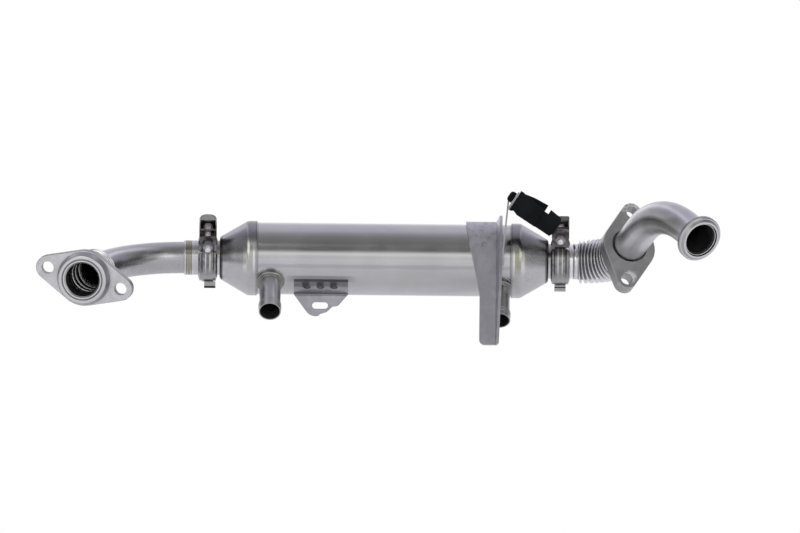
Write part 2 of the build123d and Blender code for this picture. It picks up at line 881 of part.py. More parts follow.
right_face = flange_plane(right_front, right_aim, right_bolt_line_angle)
finish(
    bolt_flange(right_face, right_flange_thickness, right_flange_hub_r, right_flange_lobe_r,
                elbow_r + braze_gap, right_flange_recess),
    "right_flange",
)

end_aim = direction(elbow_end_turn_angle, elbow_end_rise_angle)
elbow_turn = right_aim.get_angle(end_aim)
elbow_tangent = elbow_bend_radius * tan(radians(elbow_turn / 2))
elbow_plane = Plane(origin=right_front, x_dir=right_aim, z_dir=right_aim.cross(end_aim))
elbow_final = elbow_second_run - elbow_tangent - ring_mouth_depth
with BuildPart() as elbow_pipe:
    with BuildLine(elbow_plane) as elbow_path:
        rise_run = Line((-right_flange_thickness - elbow_tail, 0), (elbow_first_run - elbow_tangent, 0))
        turn_arc = JernArc(rise_run @ 1, rise_run % 1, elbow_bend_radius, elbow_turn)
        end_run = Line(turn_arc @ 1, (turn_arc @ 1) + (turn_arc % 1) * elbow_final)
    with BuildSketch(Plane(origin=rise_run @ 0, z_dir=rise_run % 0)):
        Circle(elbow_r)
        Circle(elbow_r - elbow_wall, mode=Mode.SUBTRACT)
    sweep(path=elbow_path.wires()[0])
finish(elbow_pipe.part, "elbow_pipe")

ring_origin = end_run @ 1
ring_bore_r = elbow_r + braze_gap
with BuildPart() as end_ring:
    with BuildSketch(profile_plane(ring_origin, end_aim)):
        with BuildLine():
            Polyline(
                (ring_bore_r, ring_mouth_depth - ring_thickness - ring_back_slope),
                (elbow_r + ring_lip_width, ring_mouth_depth - ring_thickness - ring_back_slope),
                (ring_r, ring_mouth_depth - ring_thickness),
                (ring_r, ring_mouth_depth - ring_edge_chamfer - ring_lip_height),
                (ring_r - ring_edge_chamfer, ring_mouth_depth - ring_lip_height),
                (ring_mouth_r + 2 * ring_lip_width, ring_mouth_depth - ring_lip_height),
                (ring_mouth_r + ring_lip_width, ring_mouth_depth),
                (ring_mouth_r, ring_mouth_depth),
                (ring_mouth_r, ring_mouth_depth - ring_pocket_depth),
                (ring_bore_r + ring_collar_wall, ring_mouth_depth - ring_pocket_depth),
                (ring_bore_r + ring_collar_wall, ring_mouth_depth - ring_collar_drop),
                (ring_bore_r, ring_mouth_depth - ring_collar_drop),
                close=True,
            )
        make_face()
    revolve(axis=Axis(ring_origin, end_aim))
finish(end_ring.part, "end_ring")

# Slotted bracket: pad on the shell, then a tongue that hangs straight down
pad_r = shell_r + braze_gap
pad_out = pad_r + slotted_sheet
pad_angle = slotted_to_angle - slotted_from_angle
tongue_front = -pad_out * cos(radians(slotted_to_angle))
tongue_back = tongue_front + slotted_sheet
with BuildPart() as slotted_bracket:
    with BuildSketch(Plane.YZ.offset(slotted_left)):
        with BuildLine():
            pad_in = CenterArc((0, 0), pad_r, 180 + slotted_from_angle, pad_angle)
            pad_outer = CenterArc((0, 0), pad_out, 180 + slotted_from_angle, pad_angle)
            Line(pad_in @ 0, pad_outer @ 0)
            Line(pad_in @ 1, pad_outer @ 1)
        make_face()
        with BuildLine():
            Polyline(
                pad_outer @ 1,
                (tongue_front, slotted_tip),
                (tongue_back, slotted_tip),
                (tongue_back, -sqrt(pad_r**2 - tongue_back**2)),
                pad_in @ 1,
                close=True,
            )
        make_face()
    extrude(amount=slotted_right - slotted_left)
    with BuildSketch(Plane.XZ.offset(-shell_od)):
        with BuildLine():
            FilletPolyline(
                (slotted_left, 0),
                (slotted_left, slotted_shoulder),
                (slotted_left + slotted_heel_from, slotted_tip),
                (slotted_toe_x, slotted_tip),
                (slotted_toe_x + slotted_toe_step, slotted_tip + slotted_toe_step),
                (slotted_left + slotted_rise_from, -shell_r - slotted_rise_drop),
                (slotted_step_x - slotted_step_run, slotted_step_z - slotted_step_fall),
                (slotted_step_x, slotted_step_z),
                (slotted_right, slotted_shoulder),
                (slotted_right, 0),
                radius=[slotted_bend, slotted_heel_round, slotted_toe_round, slotted_toe_round]
                + [slotted_rise_round, slotted_step_round, slotted_fold_round, slotted_bend],
            )
            Line((slotted_right, 0), (slotted_left, 0))
        make_face()
    extrude(amount=2 * shell_od, mode=Mode.INTERSECT)
    with BuildSketch(Plane.XZ):
        with Locations((slotted_left + slot_from, -shell_r - slot_drop)):
            SlotOverall(slot_length, slot_width)
    extrude(amount=shell_od, mode=Mode.SUBTRACT)
    dimple_aim = direction(90, -dimple_place_angle)
    for step in (-1, 0, 1):
        dimple_x = slotted_left + dimple_from + step * dimple_pitch
        dimple_foot = Vector(dimple_x, 0, 0) + dimple_aim * (pad_out + slip_gap)
        with BuildSketch(Plane(origin=dimple_foot, z_dir=dimple_aim)):
            Circle(dimple_d / 2)
        extrude(amount=-dimple_depth, taper=dimple_taper_angle, mode=Mode.SUBTRACT)
finish(slotted_bracket.part, "slotted_bracket")

# Support bracket: strap over the shell, sloping leg and splayed side flange
support_reach = 2 * shell_od
wrap_in = shell_r + braze_gap
wrap_out = wrap_in + support_sheet
wrap_to = 90 - support_leg_angle
leg_down = Vector(0, -sin(radians(support_leg_angle)), -cos(radians(support_leg_angle)))
leg_normal = clamp_radial(wrap_to)
leg_length = (wrap_in * leg_normal.Z - support_leg_foot) / cos(radians(support_leg_angle))


def across_wrap(radius, angle):
    """Point in the YZ plane at a radius, turned from the top towards the viewer."""
    spot = clamp_radial(angle) * radius
    return (spot.Y, spot.Z)


def along_leg(radius, distance):
    """Point in the YZ plane down the leg from where the strap leaves the shell."""
    spot = leg_normal * radius + leg_down * distance
    return (spot.Y, spot.Z)


flange_step = support_flange_height * tan(radians(support_flange_splay_angle))
flange_section = [
    (support_right - support_sheet, wrap_in),
    (support_right, wrap_in),
    (support_right + flange_step + support_sheet, wrap_out + support_flange_height),
    (support_right + flange_step, wrap_out + support_flange_height),
]
with BuildPart() as side_flange:
    with BuildSketch(clamp_plane(0, support_wrap_angle)):
        with BuildLine():
            Polyline(*flange_section, close=True)
        make_face()
    revolve(axis=Axis.X, revolution_arc=wrap_to - support_wrap_angle)
    with BuildSketch(clamp_plane(0, wrap_to)):
        with BuildLine():
            Polyline(*flange_section, close=True)
        make_face()
    extrude(amount=leg_length)
    with BuildSketch(Plane.YZ.offset(support_right - shell_od)):
        with BuildLine():
            Polyline(
                along_leg(wrap_out + support_flange_height, leg_length * support_flange_hold_share),
                along_leg(wrap_out + support_flange_foot, leg_length),
                along_leg(2 * wrap_out, leg_length),
                along_leg(2 * wrap_out, leg_length * support_flange_hold_share),
                close=True,
            )
        make_face()
    extrude(amount=2 * shell_od, mode=Mode.SUBTRACT)

with BuildPart() as support_bracket:
    with BuildSketch(Plane.YZ.offset(support_left_top)):
        with BuildLine():
            ThreePointArc(
                across_wrap(wrap_in, support_wrap_angle),
                across_wrap(wrap_in, (support_wrap_angle + wrap_to) / 2),
                across_wrap(wrap_in, wrap_to),
            )
            Polyline(
                across_wrap(wrap_in, wrap_to),
                along_leg(wrap_in, leg_length),
                along_leg(wrap_out, leg_length),
                across_wrap(wrap_out, wrap_to),
            )
            ThreePointArc(
                across_wrap(wrap_out, wrap_to),
                across_wrap(wrap_out, (support_wrap_angle + wrap_to) / 2),
                across_wrap(wrap_out, support_wrap_angle),
            )
            Line(across_wrap(wrap_out, support_wrap_angle), across_wrap(wrap_in, support_wrap_angle))
        make_face()
    extrude(amount=support_right - support_left_top)
    with BuildSketch(Plane.XZ.offset(-shell_od)):
        with BuildLine():
            FilletPolyline(
                (support_left_top, shell_od),
                (support_left_top, support_taper_top),
                (support_left_low, support_taper_low),
                (support_left_low, support_leg_foot),
                (support_right, support_leg_foot),
                (support_right, shell_od),
                radius=[0, support_taper_bend, support_foot_round, support_foot_round],
            )
            Line((support_right, shell_od), (support_left_top, shell_od))
        make_face()
    extrude(amount=2 * support_reach, mode=Mode.INTERSECT)
    add(side_flange.part)
finish(support_bracket.part, "support_bracket")

# Connector bracket: strip on the flange edge with an ear bent across the connector
strip_x = support_right + flange_step + support_sheet + braze_gap
strip_slope = tan(radians(strip_lean_angle))
ear_x = strip_x + (strip_ear_z - strip_bend) * strip_slope
ear_foot = Vector(ear_x + strip_sheet, 0, strip_ear_z)
ear_up = Vector(cos(radians(ear_angle)), 0, sin(radians(ear_angle)))
plug_aim = Vector(sin(radians(ear_angle)), 0, -cos(radians(ear_angle)))
finger_x = strip_x + (strip_top - strip_bend) * strip_slope
with BuildPart() as connector_bracket:
    with BuildSketch(Plane.XZ.offset(-strip_back_y)):
        with BuildLine():
            Polyline(
                (strip_x, strip_low),
                (strip_x, strip_bend),
                (ear_foot.X - strip_sheet, ear_foot.Z),
                (ear_foot.X, ear_foot.Z),
                (strip_x + strip_sheet, strip_bend),
                (strip_x + strip_sheet, strip_low),
                close=True,
            )
        make_face()
    extrude(amount=strip_back_y - strip_front_y)
    with BuildSketch(Plane.XZ.offset(-strip_back_y)):
        with BuildLine():
            Polyline(
                (ear_foot.X - strip_sheet, ear_foot.Z),
                (finger_x, strip_top),
                (finger_x + strip_sheet, strip_top),
                (ear_foot.X, ear_foot.Z),
                close=True,
            )
        make_face()
    extrude(amount=strip_finger)
    with BuildSketch(Plane.XZ.offset(-strip_back_y + strip_finger)):
        with BuildLine():
            ear_root = ear_foot + Vector(ear_start, 0, 0)
            ear_tip = ear_root + ear_up * ear_length
            Polyline(
                (ear_foot.X - strip_sheet, ear_foot.Z - strip_sheet),
                (ear_foot.X - strip_sheet, ear_foot.Z),
                (ear_root.X - strip_sheet * plug_aim.X, ear_root.Z - strip_sheet * plug_aim.Z),
                (ear_tip.X - strip_sheet * plug_aim.X, ear_tip.Z - strip_sheet * plug_aim.Z),
                (ear_tip.X, ear_tip.Z),
                (ear_root.X, ear_root.Z),
                (ear_foot.X - strip_sheet / 2, ear_foot.Z - strip_sheet),
                close=True,
            )
        make_face()
    extrude(amount=strip_back_y - strip_front_y - strip_finger)
    ear_middle = ear_root + ear_up * (ear_length / 2) + Vector(0, connector_y, 0)
    with BuildSketch(Plane(origin=ear_middle + ear_up * clip_offset, z_dir=plug_aim)):
        Circle(clip_stem_r + slip_gap)
    extrude(amount=2 * strip_sheet, both=True, mode=Mode.SUBTRACT)
finish(connector_bracket.part, "connector_bracket")

# Black connector, its local X along the plug and local Y across it
plug_plane = Plane(origin=ear_middle + plug_aim * slip_gap, x_dir=plug_aim, z_dir=(0, -1, 0))
with BuildPart() as connector_housing:
    with BuildSketch(plug_plane):
        with BuildLine():
            Polyline(
                (0, -housing_back),
                (0, housing_top),
                (housing_lip_length, housing_top),
                (housing_length, latch_floor),
                (housing_length, -housing_low),
                (housing_lead, -housing_low),
                (housing_notch_length, -housing_low + housing_notch),
                (housing_notch_length / 2, -housing_back),
                close=True,
            )
        make_face()
    extrude(amount=connector_width / 2, both=True)
    long_edges = connector_housing.edges().filter_by(lambda edge: edge.length > housing_length / 2)
    fillet(long_edges.filter_by(lambda edge: abs(edge.tangent_at(0).Y) < slip_gap), connector_round)
    with BuildSketch(plug_plane):
        with BuildLine():
            Polyline(
                (0, housing_top - connector_round),
                (0, housing_lip_top),
                (housing_lip_length, housing_lip_top),
                (housing_lip_foot, housing_top),
                (housing_length / 2, housing_ramp_top),
                (housing_length, housing_top_end),
                (housing_length, latch_floor),
                (housing_length - housing_lip_length, latch_floor - connector_round),
                close=True,
            )
        make_face()
    extrude(amount=latch_width / 2, both=True)
finish(connector_housing.part, "connector_housing")

with BuildPart() as connector_shroud:
    shroud_end = housing_length + shroud_length
    with BuildSketch(plug_plane):
        with BuildLine():
            Polyline(
                (housing_length, -shroud_side),
                (housing_length, latch_floor - connector_round),
                (housing_length + shroud_gap, latch_floor - connector_round),
                (housing_length + shroud_gap, shroud_top),
                (shroud_end - shroud_chamfer / 2, shroud_top - connector_round),
                (shroud_end, shroud_top - shroud_chamfer),
                (shroud_end, -shroud_side + shroud_chamfer),
                (shroud_end - shroud_chamfer / 2, -shroud_side),
                close=True,
            )
        make_face()
    extrude(amount=connector_width / 2 - connector_round, both=True)
    socket_top = shroud_top - shroud_chamfer - socket_wall / 2
    socket_low = shroud_chamfer + socket_wall / 2 - shroud_side
    socket_half = connector_width / 2 - 2 * socket_wall
    socket_plane = Plane(origin=plug_plane.origin + plug_aim * shroud_end, x_dir=ear_up, z_dir=plug_aim)
    with BuildSketch(socket_plane):
        with BuildLine():
            Polyline(
                (socket_top, socket_half),
                (socket_top, -socket_half),
                (socket_low, -socket_half),
                (socket_low, socket_half),
                close=True,
            )
        make_face()
    extrude(amount=-socket_depth, mode=Mode.SUBTRACT)
    with BuildSketch(socket_plane.offset(-socket_depth)):
        with GridLocations(pin_pitch, pin_pitch, 1, 2):
            Rectangle(pin_size, pin_size)
    extrude(amount=pin_length)
finish(connector_shroud.part, "connector_shroud")

clip_foot = ear_middle + ear_up * clip_offset
with BuildPart() as connector_clip:
    with BuildSketch(Plane(origin=clip_foot, z_dir=plug_aim)):
        Circle(clip_stem_r)
    extrude(amount=-strip_sheet - slip_gap)
    with BuildSketch(Plane(origin=clip_foot - plug_aim * (strip_sheet + slip_gap), z_dir=plug_aim)):
        Circle(clip_r)
    extrude(amount=-clip_height)
    fillet(connector_clip.edges().sort_by(Axis((0, 0, 0), plug_aim))[0], clip_round)
finish(connector_clip.part, "connector_clip")
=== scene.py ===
import bpy
import math
import random
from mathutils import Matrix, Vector


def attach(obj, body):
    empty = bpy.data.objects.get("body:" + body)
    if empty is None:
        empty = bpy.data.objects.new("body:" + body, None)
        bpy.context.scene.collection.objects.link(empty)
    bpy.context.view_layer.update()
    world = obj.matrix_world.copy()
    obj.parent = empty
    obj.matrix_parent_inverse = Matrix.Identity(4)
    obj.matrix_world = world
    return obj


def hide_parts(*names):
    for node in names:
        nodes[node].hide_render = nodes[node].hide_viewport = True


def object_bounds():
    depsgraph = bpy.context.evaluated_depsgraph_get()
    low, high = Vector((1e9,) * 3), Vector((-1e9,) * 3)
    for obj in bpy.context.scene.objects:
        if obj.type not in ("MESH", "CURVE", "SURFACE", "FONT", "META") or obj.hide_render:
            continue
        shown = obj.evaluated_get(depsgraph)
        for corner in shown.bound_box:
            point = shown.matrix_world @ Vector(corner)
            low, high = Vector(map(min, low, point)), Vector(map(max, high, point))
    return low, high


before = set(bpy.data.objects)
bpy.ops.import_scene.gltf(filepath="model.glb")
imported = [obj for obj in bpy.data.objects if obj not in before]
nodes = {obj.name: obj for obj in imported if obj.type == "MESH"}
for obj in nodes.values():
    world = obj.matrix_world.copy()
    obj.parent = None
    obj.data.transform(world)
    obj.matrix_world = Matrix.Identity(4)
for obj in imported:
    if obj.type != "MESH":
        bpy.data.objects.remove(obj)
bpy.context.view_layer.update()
random.seed(7)
scene = bpy.context.scene
mm = 0.001

# Camera, in metres: level and square to the shell, rolled a little, as the photograph was taken
view_width = 0.708
view_centre_x = 0.0142
view_centre_z = -0.00605
camera_distance = 2.0
camera_roll = math.radians(0.6)
camera_data = bpy.data.cameras.new("camera")
camera_data.type = "ORTHO"
camera_data.ortho_scale = view_width
camera = bpy.data.objects.new("camera", camera_data)
scene.collection.objects.link(camera)
camera.location = (view_centre_x, -camera_distance, view_centre_z)
camera.rotation_euler = (math.radians(90), 0, 0)
camera.rotation_euler.rotate_axis("Z", camera_roll)
scene.camera = camera
scene.view_settings.view_transform = "Standard"

# Main places of the part in millimetres, and directions, as its solids have them
X = Vector((1, 0, 0))
shell_r = 31.75
left_leave = Vector((-0.3746, -0.9066, -0.1944)).normalized()
left_root = Vector((-254.7211, -56.2153, -12.0515))
left_aim = Vector((-0.204626, -0.962689, -0.177085))
left_front = Vector((-265.453, -94.477, -19.484))
right_aim = Vector((0.331478, -0.828753, 0.450878))
right_front = Vector((217.165, -35.702, 14.634))
end_aim = Vector((0.495051, -0.765232, -0.411514))
ring_origin = Vector((278.849, -156.327, 21.401))


# Node helpers
class Nodes:
    """Short hand for making and joining the nodes of one tree."""

    def __init__(self, tree):
        self.tree = tree

    def node(self, kind, **settings):
        made = self.tree.nodes.new(kind)
        for key, value in settings.items():
            setattr(made, key, value)
        return made

    def feed(self, socket, value):
        if isinstance(value, bpy.types.NodeSocket):
            self.tree.links.new(value, socket)
        else:
            socket.default_value = value

    def math(self, operation, first, second=0.0, clamp=False):
        made = self.node("ShaderNodeMath", operation=operation, use_clamp=clamp)
        self.feed(made.inputs[0], first)
        self.feed(made.inputs[1], second)
        return made.outputs[0]

    def both(self, first, second):
        """Share where two shares hold together."""
        return self.math("MULTIPLY", first, second)

    def either(self, first, second):
        """Share where one of two shares holds."""
        return self.math("MAXIMUM", first, second)

    def ramp(self, value, stops):
        """Colour ramp through stops given as a position and a colour."""
        made = self.node("ShaderNodeValToRGB")
        self.feed(made.inputs[0], value)
        elements = made.color_ramp.elements
        while len(elements) < len(stops):
            elements.new(0.5)
        for element, (position, colour) in zip(elements, stops):
            element.position = position
            element.color = (*colour, 1)
        return made.outputs[0]


class Shader(Nodes):
    """One surface material; places and sizes are in millimetres, pattern scales are per metre."""

    noise_roughness = 0.55
    turned_scale = 2600.0
    turned_detail = 2.0
    band_core = 0.45
    blot_core = 0.5
    side_full = 0.55
    side_end = 0.9

    def __init__(self, name):
        self.material = bpy.data.materials.new(name)
        self.material.use_nodes = True
        super().__init__(self.material.node_tree)
        self.shader = self.tree.nodes["Principled BSDF"]
        self.place = self.node("ShaderNodeTexCoord").outputs["Object"]
        self.parts = None

    def stretched(self, scale):
        made = self.node("ShaderNodeMapping")
        self.feed(made.inputs["Vector"], self.place)
        made.inputs["Scale"].default_value = scale
        return made.outputs[0]

    def noise(self, scale, detail, warp=0.0, source=None):
        made = self.node("ShaderNodeTexNoise")
        self.feed(made.inputs["Vector"], source or self.place)
        made.inputs["Scale"].default_value = scale
        made.inputs["Detail"].default_value = detail
        made.inputs["Roughness"].default_value = self.noise_roughness
        made.inputs["Distortion"].default_value = warp
        return made.outputs["Fac"]

    def cells(self, scale):
        made = self.node("ShaderNodeTexVoronoi")
        self.feed(made.inputs["Vector"], self.place)
        made.inputs["Scale"].default_value = scale
        return made.outputs["Distance"]

    def span(self, value, low, high, to_low=0.0, to_high=1.0):
        """Value taken smoothly from one range to another."""
        made = self.node("ShaderNodeMapRange", interpolation_type="SMOOTHSTEP")
        self.feed(made.inputs["Value"], value)
        for name, number in (("From Min", low), ("From Max", high), ("To Min", to_low), ("To Max", to_high)):
            made.inputs[name].default_value = number
        return made.outputs[0]

    def mix(self, share, first, second, blend="MIX"):
        made = self.node("ShaderNodeMix", data_type="RGBA", blend_type=blend)
        self.feed(made.inputs["Factor"], share)
        self.feed(made.inputs["A"], first if not isinstance(first, tuple) else (*first, 1))
        self.feed(made.inputs["B"], second if not isinstance(second, tuple) else (*second, 1))
        return made.outputs["Result"]

    def axis(self, letter):
        """Place along X, Y or Z in metres, or with both ends folded together for letter A."""
        if self.parts is None:
            self.parts = self.node("ShaderNodeSeparateXYZ")
            self.feed(self.parts.inputs[0], self.place)
        if letter == "A":
            return self.math("ABSOLUTE", self.parts.outputs["X"])
        return self.parts.outputs[letter]

    def rise(self, letter, low, high, to_low=0.0, to_high=1.0):
        """Share that grows, or falls, between two places along an axis."""
        return self.span(self.axis(letter), low * mm, high * mm, to_low, to_high)

    def ragged(self, away, wobble, reach):
        """Distance pushed in and out by a noise; all in metres."""
        return self.math("ADD", away, self.math("MULTIPLY", self.math("SUBTRACT", wobble, 0.5), reach))

    def near(self, letter, middle, half, strength=1.0, wobble=None):
        """Soft band that is strongest at one place along an axis."""
        away = self.math("ABSOLUTE", self.math("SUBTRACT", self.axis(letter), middle * mm))
        if wobble is not None:
            away = self.ragged(away, wobble, half * mm)
        return self.span(away, half * self.band_core * mm, half * mm, strength, 0.0)

    def spot(self, x, z, half_x, half_z, strength=1.0):
        """Soft patch at one place along X and Z."""
        return self.both(self.near("X", x, half_x, strength), self.near("Z", z, half_z))

    def blot(self, x, z, radius, wobble):
        """Round patch with a slightly ragged edge at one place along X and Z."""
        across = self.math("SUBTRACT", self.axis("X"), x * mm)
        up = self.math("SUBTRACT", self.axis("Z"), z * mm)
        square = self.math("ADD", self.both(across, across), self.both(up, up))
        away = self.ragged(self.math("POWER", square, 0.5), wobble, radius * self.blot_core * mm)
        return self.span(away, radius * self.blot_core * mm, radius * mm, 1.0, 0.0)

    def turned(self, centre):
        """Fine rings about a centre, such as a lathe leaves on a face."""
        away = self.node("ShaderNodeVectorMath", operation="DISTANCE")
        self.feed(away.inputs[0], self.place)
        away.inputs[1].default_value = centre * mm
        made = self.node("ShaderNodeTexNoise", noise_dimensions="1D")
        self.feed(made.inputs["W"], away.outputs["Value"])
        made.inputs["Scale"].default_value = self.turned_scale
        made.inputs["Detail"].default_value = self.turned_detail
        return made.outputs["Fac"]

    def side(self, aim, strength=1.0):
        """Share of a surface that looks sideways from a direction."""
        dot = self.node("ShaderNodeVectorMath", operation="DOT_PRODUCT")
        self.feed(dot.inputs[0], self.node("ShaderNodeNewGeometry").outputs["Normal"])
        dot.inputs[1].default_value = aim
        facing = self.math("ABSOLUTE", dot.outputs["Value"])
        return self.span(facing, self.side_full, self.side_end, strength, 0.0)

    def bump(self, height, depth, strength=0.6):
        made = self.node("ShaderNodeBump")
        made.inputs["Distance"].default_value = depth * mm
        made.inputs["Strength"].default_value = strength
        self.feed(made.inputs["Height"], height)
        self.feed(self.shader.inputs["Normal"], made.outputs[0])

    def set(self, **values):
        for name, value in values.items():
            self.feed(self.shader.inputs[name.replace("_", " ")], value)
        return self.material


# Kinds of surface; colours are linear
olive = (0.26, 0.26, 0.15)
straw = (0.32, 0.32, 0.22)
pale_straw = (0.4, 0.4, 0.33)
brown = (0.14, 0.115, 0.10)
stain_brown = (0.13, 0.115, 0.10)
black_shade = (0.012, 0.012, 0.014)
dark = (0.07, 0.07, 0.075)
# Grey for painted shade
painted_shade_grey = (0.17, 0.17, 0.175)
# Blue-grey for a line by the cap braze and for painted shade on the elbow
blue_grey_line_and_shade = (0.30, 0.30, 0.33)
glare = (0.95, 0.94, 0.9)
chalk = (0.90, 0.90, 0.91)


def grey(level, blue=0.0):
    """Grey of one level, with a little blue or, below zero, a little yellow."""
    return (level, level * (1 - blue * 0.25), level * (1 + blue))


def steel(name, level, rough, blue=0.02, grain=(60, 900, 900), grain_depth=0.003, mottle=0.05, tints=(),
          stains=0.0, rough_cloud=0.04, extra=None, centre=None, metal=1.0):
    """Satin stainless: fine drawn or turned grain, faint clouds and stains, and bands of tint."""
    s = Shader(name)
    lines = s.turned(centre) if centre else s.noise(1.0, 2.0, source=s.stretched(grain))
    cloud = s.noise(26.0, 4.0, warp=0.6)
    fine = s.noise(700.0, 3.0)
    darker = grey(level * (1 - mottle), blue)
    lighter = grey(level * (1 + mottle), blue)
    colour = s.mix(s.span(cloud, 0.3, 0.7), darker, lighter)
    colour = s.mix(s.span(lines, 0.35, 0.7, 0.0, 0.35), colour, grey(level * (1 - 1.5 * mottle), blue))
    if stains:
        stain = s.span(s.noise(70.0, 5.0, warp=1.2), 0.56, 0.74, 0.0, stains)
        colour = s.mix(stain, colour, stain_brown)
    for letter, middle, half, tint, strength in tints:
        colour = s.mix(s.near(letter, middle, half, strength, cloud), colour, tint)
    if extra:
        colour = extra(s, colour, cloud)
    roughness = s.math("ADD", s.span(lines, 0.3, 0.7, rough - 0.02, rough + 0.03),
                       s.span(cloud, 0.35, 0.7, 0.0, rough_cloud))
    s.bump(s.math("ADD", lines, s.math("MULTIPLY", fine, 0.5)), grain_depth)
    return s.set(Base_Color=colour, Metallic=metal, Roughness=roughness)


def cast(name, level, rough, depth, blue, scale, spots=0.25, extra=None, patch=None):
    """Blasted, slightly pitted steel with a granular sparkle, and a chalky skin over its patch."""
    s = Shader(name)
    metal = 1.0
    grains = s.noise(scale, 4.0)
    pits = s.cells(scale * 0.55)
    cloud = s.noise(60.0, 4.0, warp=0.8)
    colour = s.mix(s.span(cloud, 0.32, 0.7), grey(level * 0.9, blue), grey(level * 1.08, blue))
    colour = s.mix(s.span(grains, 0.35, 0.65, spots, 0.0), colour, grey(level * 0.5, blue))
    if extra:
        colour = extra(s, colour, cloud)
    if patch:
        share = patch(s)
        colour = s.mix(share, colour, chalk)
        metal = s.math("SUBTRACT", 1.0, s.math("MULTIPLY", share, 0.7))
    s.bump(s.math("ADD", grains, s.math("MULTIPLY", pits, 0.5)), depth)
    roughness = s.span(grains, 0.3, 0.7, rough + 0.08, rough - 0.05)
    return s.set(Base_Color=colour, Metallic=metal, Roughness=roughness)


def plastic(name):
    """Black moulded plastic with a fine spark-eroded surface."""
    s = Shader(name)
    grains = s.noise(1800.0, 3.0)
    cloud = s.noise(60.0, 3.0)
    s.bump(grains, 0.05, 0.5)
    colour = s.mix(s.span(cloud, 0.3, 0.7), (0.004, 0.005, 0.006), (0.009, 0.010, 0.012))
    return s.set(Base_Color=colour, Roughness=s.span(grains, 0.3, 0.7, 0.55, 0.68), Specular_IOR_Level=0.08)


def oxide(name):
    """Dark scale that exhaust gas leaves inside a pipe, also used as painted shade in the end ring's pocket.
    """
    s = Shader(name)
    cloud = s.noise(90.0, 4.0, warp=0.8)
    grains = s.noise(1500.0, 3.0)
    s.bump(grains, 0.04, 0.5)
    colour = s.mix(s.span(cloud, 0.3, 0.7), (0.012, 0.012, 0.014), (0.034, 0.032, 0.030))
    return s.set(Base_Color=colour, Metallic=0.3, Roughness=s.span(grains, 0.3, 0.7, 0.55, 0.7))


def clamp_band(name):
    """Clamp sheet: heat-browned at the lug, lighter below, rolled grain, and painted highlight and shadow
    stripes along the band.
    """
    s = Shader(name)
    cloud = s.noise(140.0, 4.0, warp=0.9)
    lines = s.noise(1.0, 2.0, source=s.stretched((900, 120, 120)))
    mottled = s.span(cloud, 0.35, 0.65)
    low = s.mix(mottled, (0.19, 0.187, 0.19), (0.34, 0.335, 0.338))
    high = s.mix(mottled, (0.058, 0.051, 0.050), (0.19, 0.175, 0.168))
    colour = s.mix(s.rise("Z", 8.0, 15.0), low, high)
    colour = s.mix(s.rise("Z", 28.5, 35.0, 0.0, 0.85), colour, (0.30, 0.295, 0.30))
    colour = s.mix(s.rise("Z", -9.0, -18.0, 0.0, 0.6), colour, (0.54, 0.53, 0.54))
    # Painted light on the front of the strap: a highlight stripe either side of its middle and a shadow
    # stripe by each edge
    facing = s.both(s.rise("Z", 10.0, 13.0, 1.0, 0.0), s.rise("Z", -16.0, -8.0))
    stripe_highlight = (0.80, 0.78, 0.74)
    shadow = (0.05, 0.045, 0.045)
    for middle, half, tint, strength in (
        (154.05, 0.7, stripe_highlight, 0.75), (157.9, 0.7, stripe_highlight, 0.75),
        (150.95, 0.8, shadow, 0.85), (161.05, 0.8, shadow, 0.85),
    ):
        colour = s.mix(s.both(s.near("A", middle, half, strength), facing), colour, tint)
    # Painted shade on the strap's tab: dark at its end on the left clamp and across its top on the right one
    left_tab = s.both(s.rise("Z", -24.9, -25.4), s.rise("X", 10.0, -10.0))
    right_tab = s.both(s.near("Z", -23.1, 0.7), s.rise("X", -10.0, 10.0))
    colour = s.mix(s.either(left_tab, right_tab), colour, black_shade)
    s.bump(s.math("ADD", cloud, lines), 0.03)
    return s.set(Base_Color=colour, Metallic=1.0, Roughness=s.span(cloud, 0.3, 0.7, 0.26, 0.42))


# Marks, and painted light and shade, on single pieces, handed to the kinds of surface above
def pad_shades(s, colour, cloud):
    """Slotted bracket: painted shade, a dark band with a darker spot at each spot-weld dent, and a dark
    bend.
    """
    weld_z = -22.9
    colour = s.mix(s.near("Z", -21.5, 4.6, 0.55, cloud), colour, (0.06, 0.06, 0.065))
    for weld_x in (-69.2, -56.4, -44.5):
        colour = s.mix(s.spot(weld_x, weld_z, 4.2, 3.4, 0.75), colour, (0.03, 0.03, 0.033))
    bend_z = -31.6
    return s.mix(s.near("Z", bend_z, 1.8, 0.55, cloud), colour, (0.09, 0.09, 0.095))


def leg_marks(s, colour, cloud):
    """Support bracket: smudged roughness near its top and one small scratch."""
    smudge = s.both(s.rise("Z", 0.0, 20.0), s.span(s.noise(260.0, 4.0), 0.5, 0.68))
    colour = s.mix(s.math("MULTIPLY", smudge, 0.35), colour, (0.18, 0.175, 0.18))
    scratch = s.both(s.spot(88.6, 14.8, 3.2, 2.4), s.span(s.noise(620.0, 3.0), 0.47, 0.55))
    return s.mix(s.math("MULTIPLY", scratch, 0.6), colour, (0.14, 0.12, 0.15))


def lobe_patch(s):
    """Right flange: share of pale skin, mottled on the upper lobe and round by the lower hole."""
    off_front = s.side(right_aim)
    mottled = s.math("SUBTRACT", s.span(s.noise(650.0, 5.0), 0.40, 0.62, 0.15, 1.0), off_front, clamp=True)
    upper = s.both(s.rise("Z", 43.5, 46.5, 0.0, 0.8), mottled)
    lower = s.math("SUBTRACT", s.blot(218.0, -13.0, 6.8, s.noise(330.0, 3.0)), off_front, clamp=True)
    return s.either(upper, s.math("MULTIPLY", lower, 0.85))


def shell_painted_reflections(s, colour, cloud):
    """Shell: a faint dark line along its front and shade just above the slotted bracket, both painted
    reflections.
    """
    front = s.rise("Y", -5.0, -12.0)
    # Painted reflection of the slotted bracket, as shade on the shell's front
    colour = s.mix(s.both(s.spot(-55.6, -17.8, 36.0, 3.6, 0.6), front), colour, painted_shade_grey)
    line = s.both(s.near("Z", -6.6, 2.2, 0.35, cloud), front)
    return s.mix(line, colour, (0.30, 0.30, 0.32))


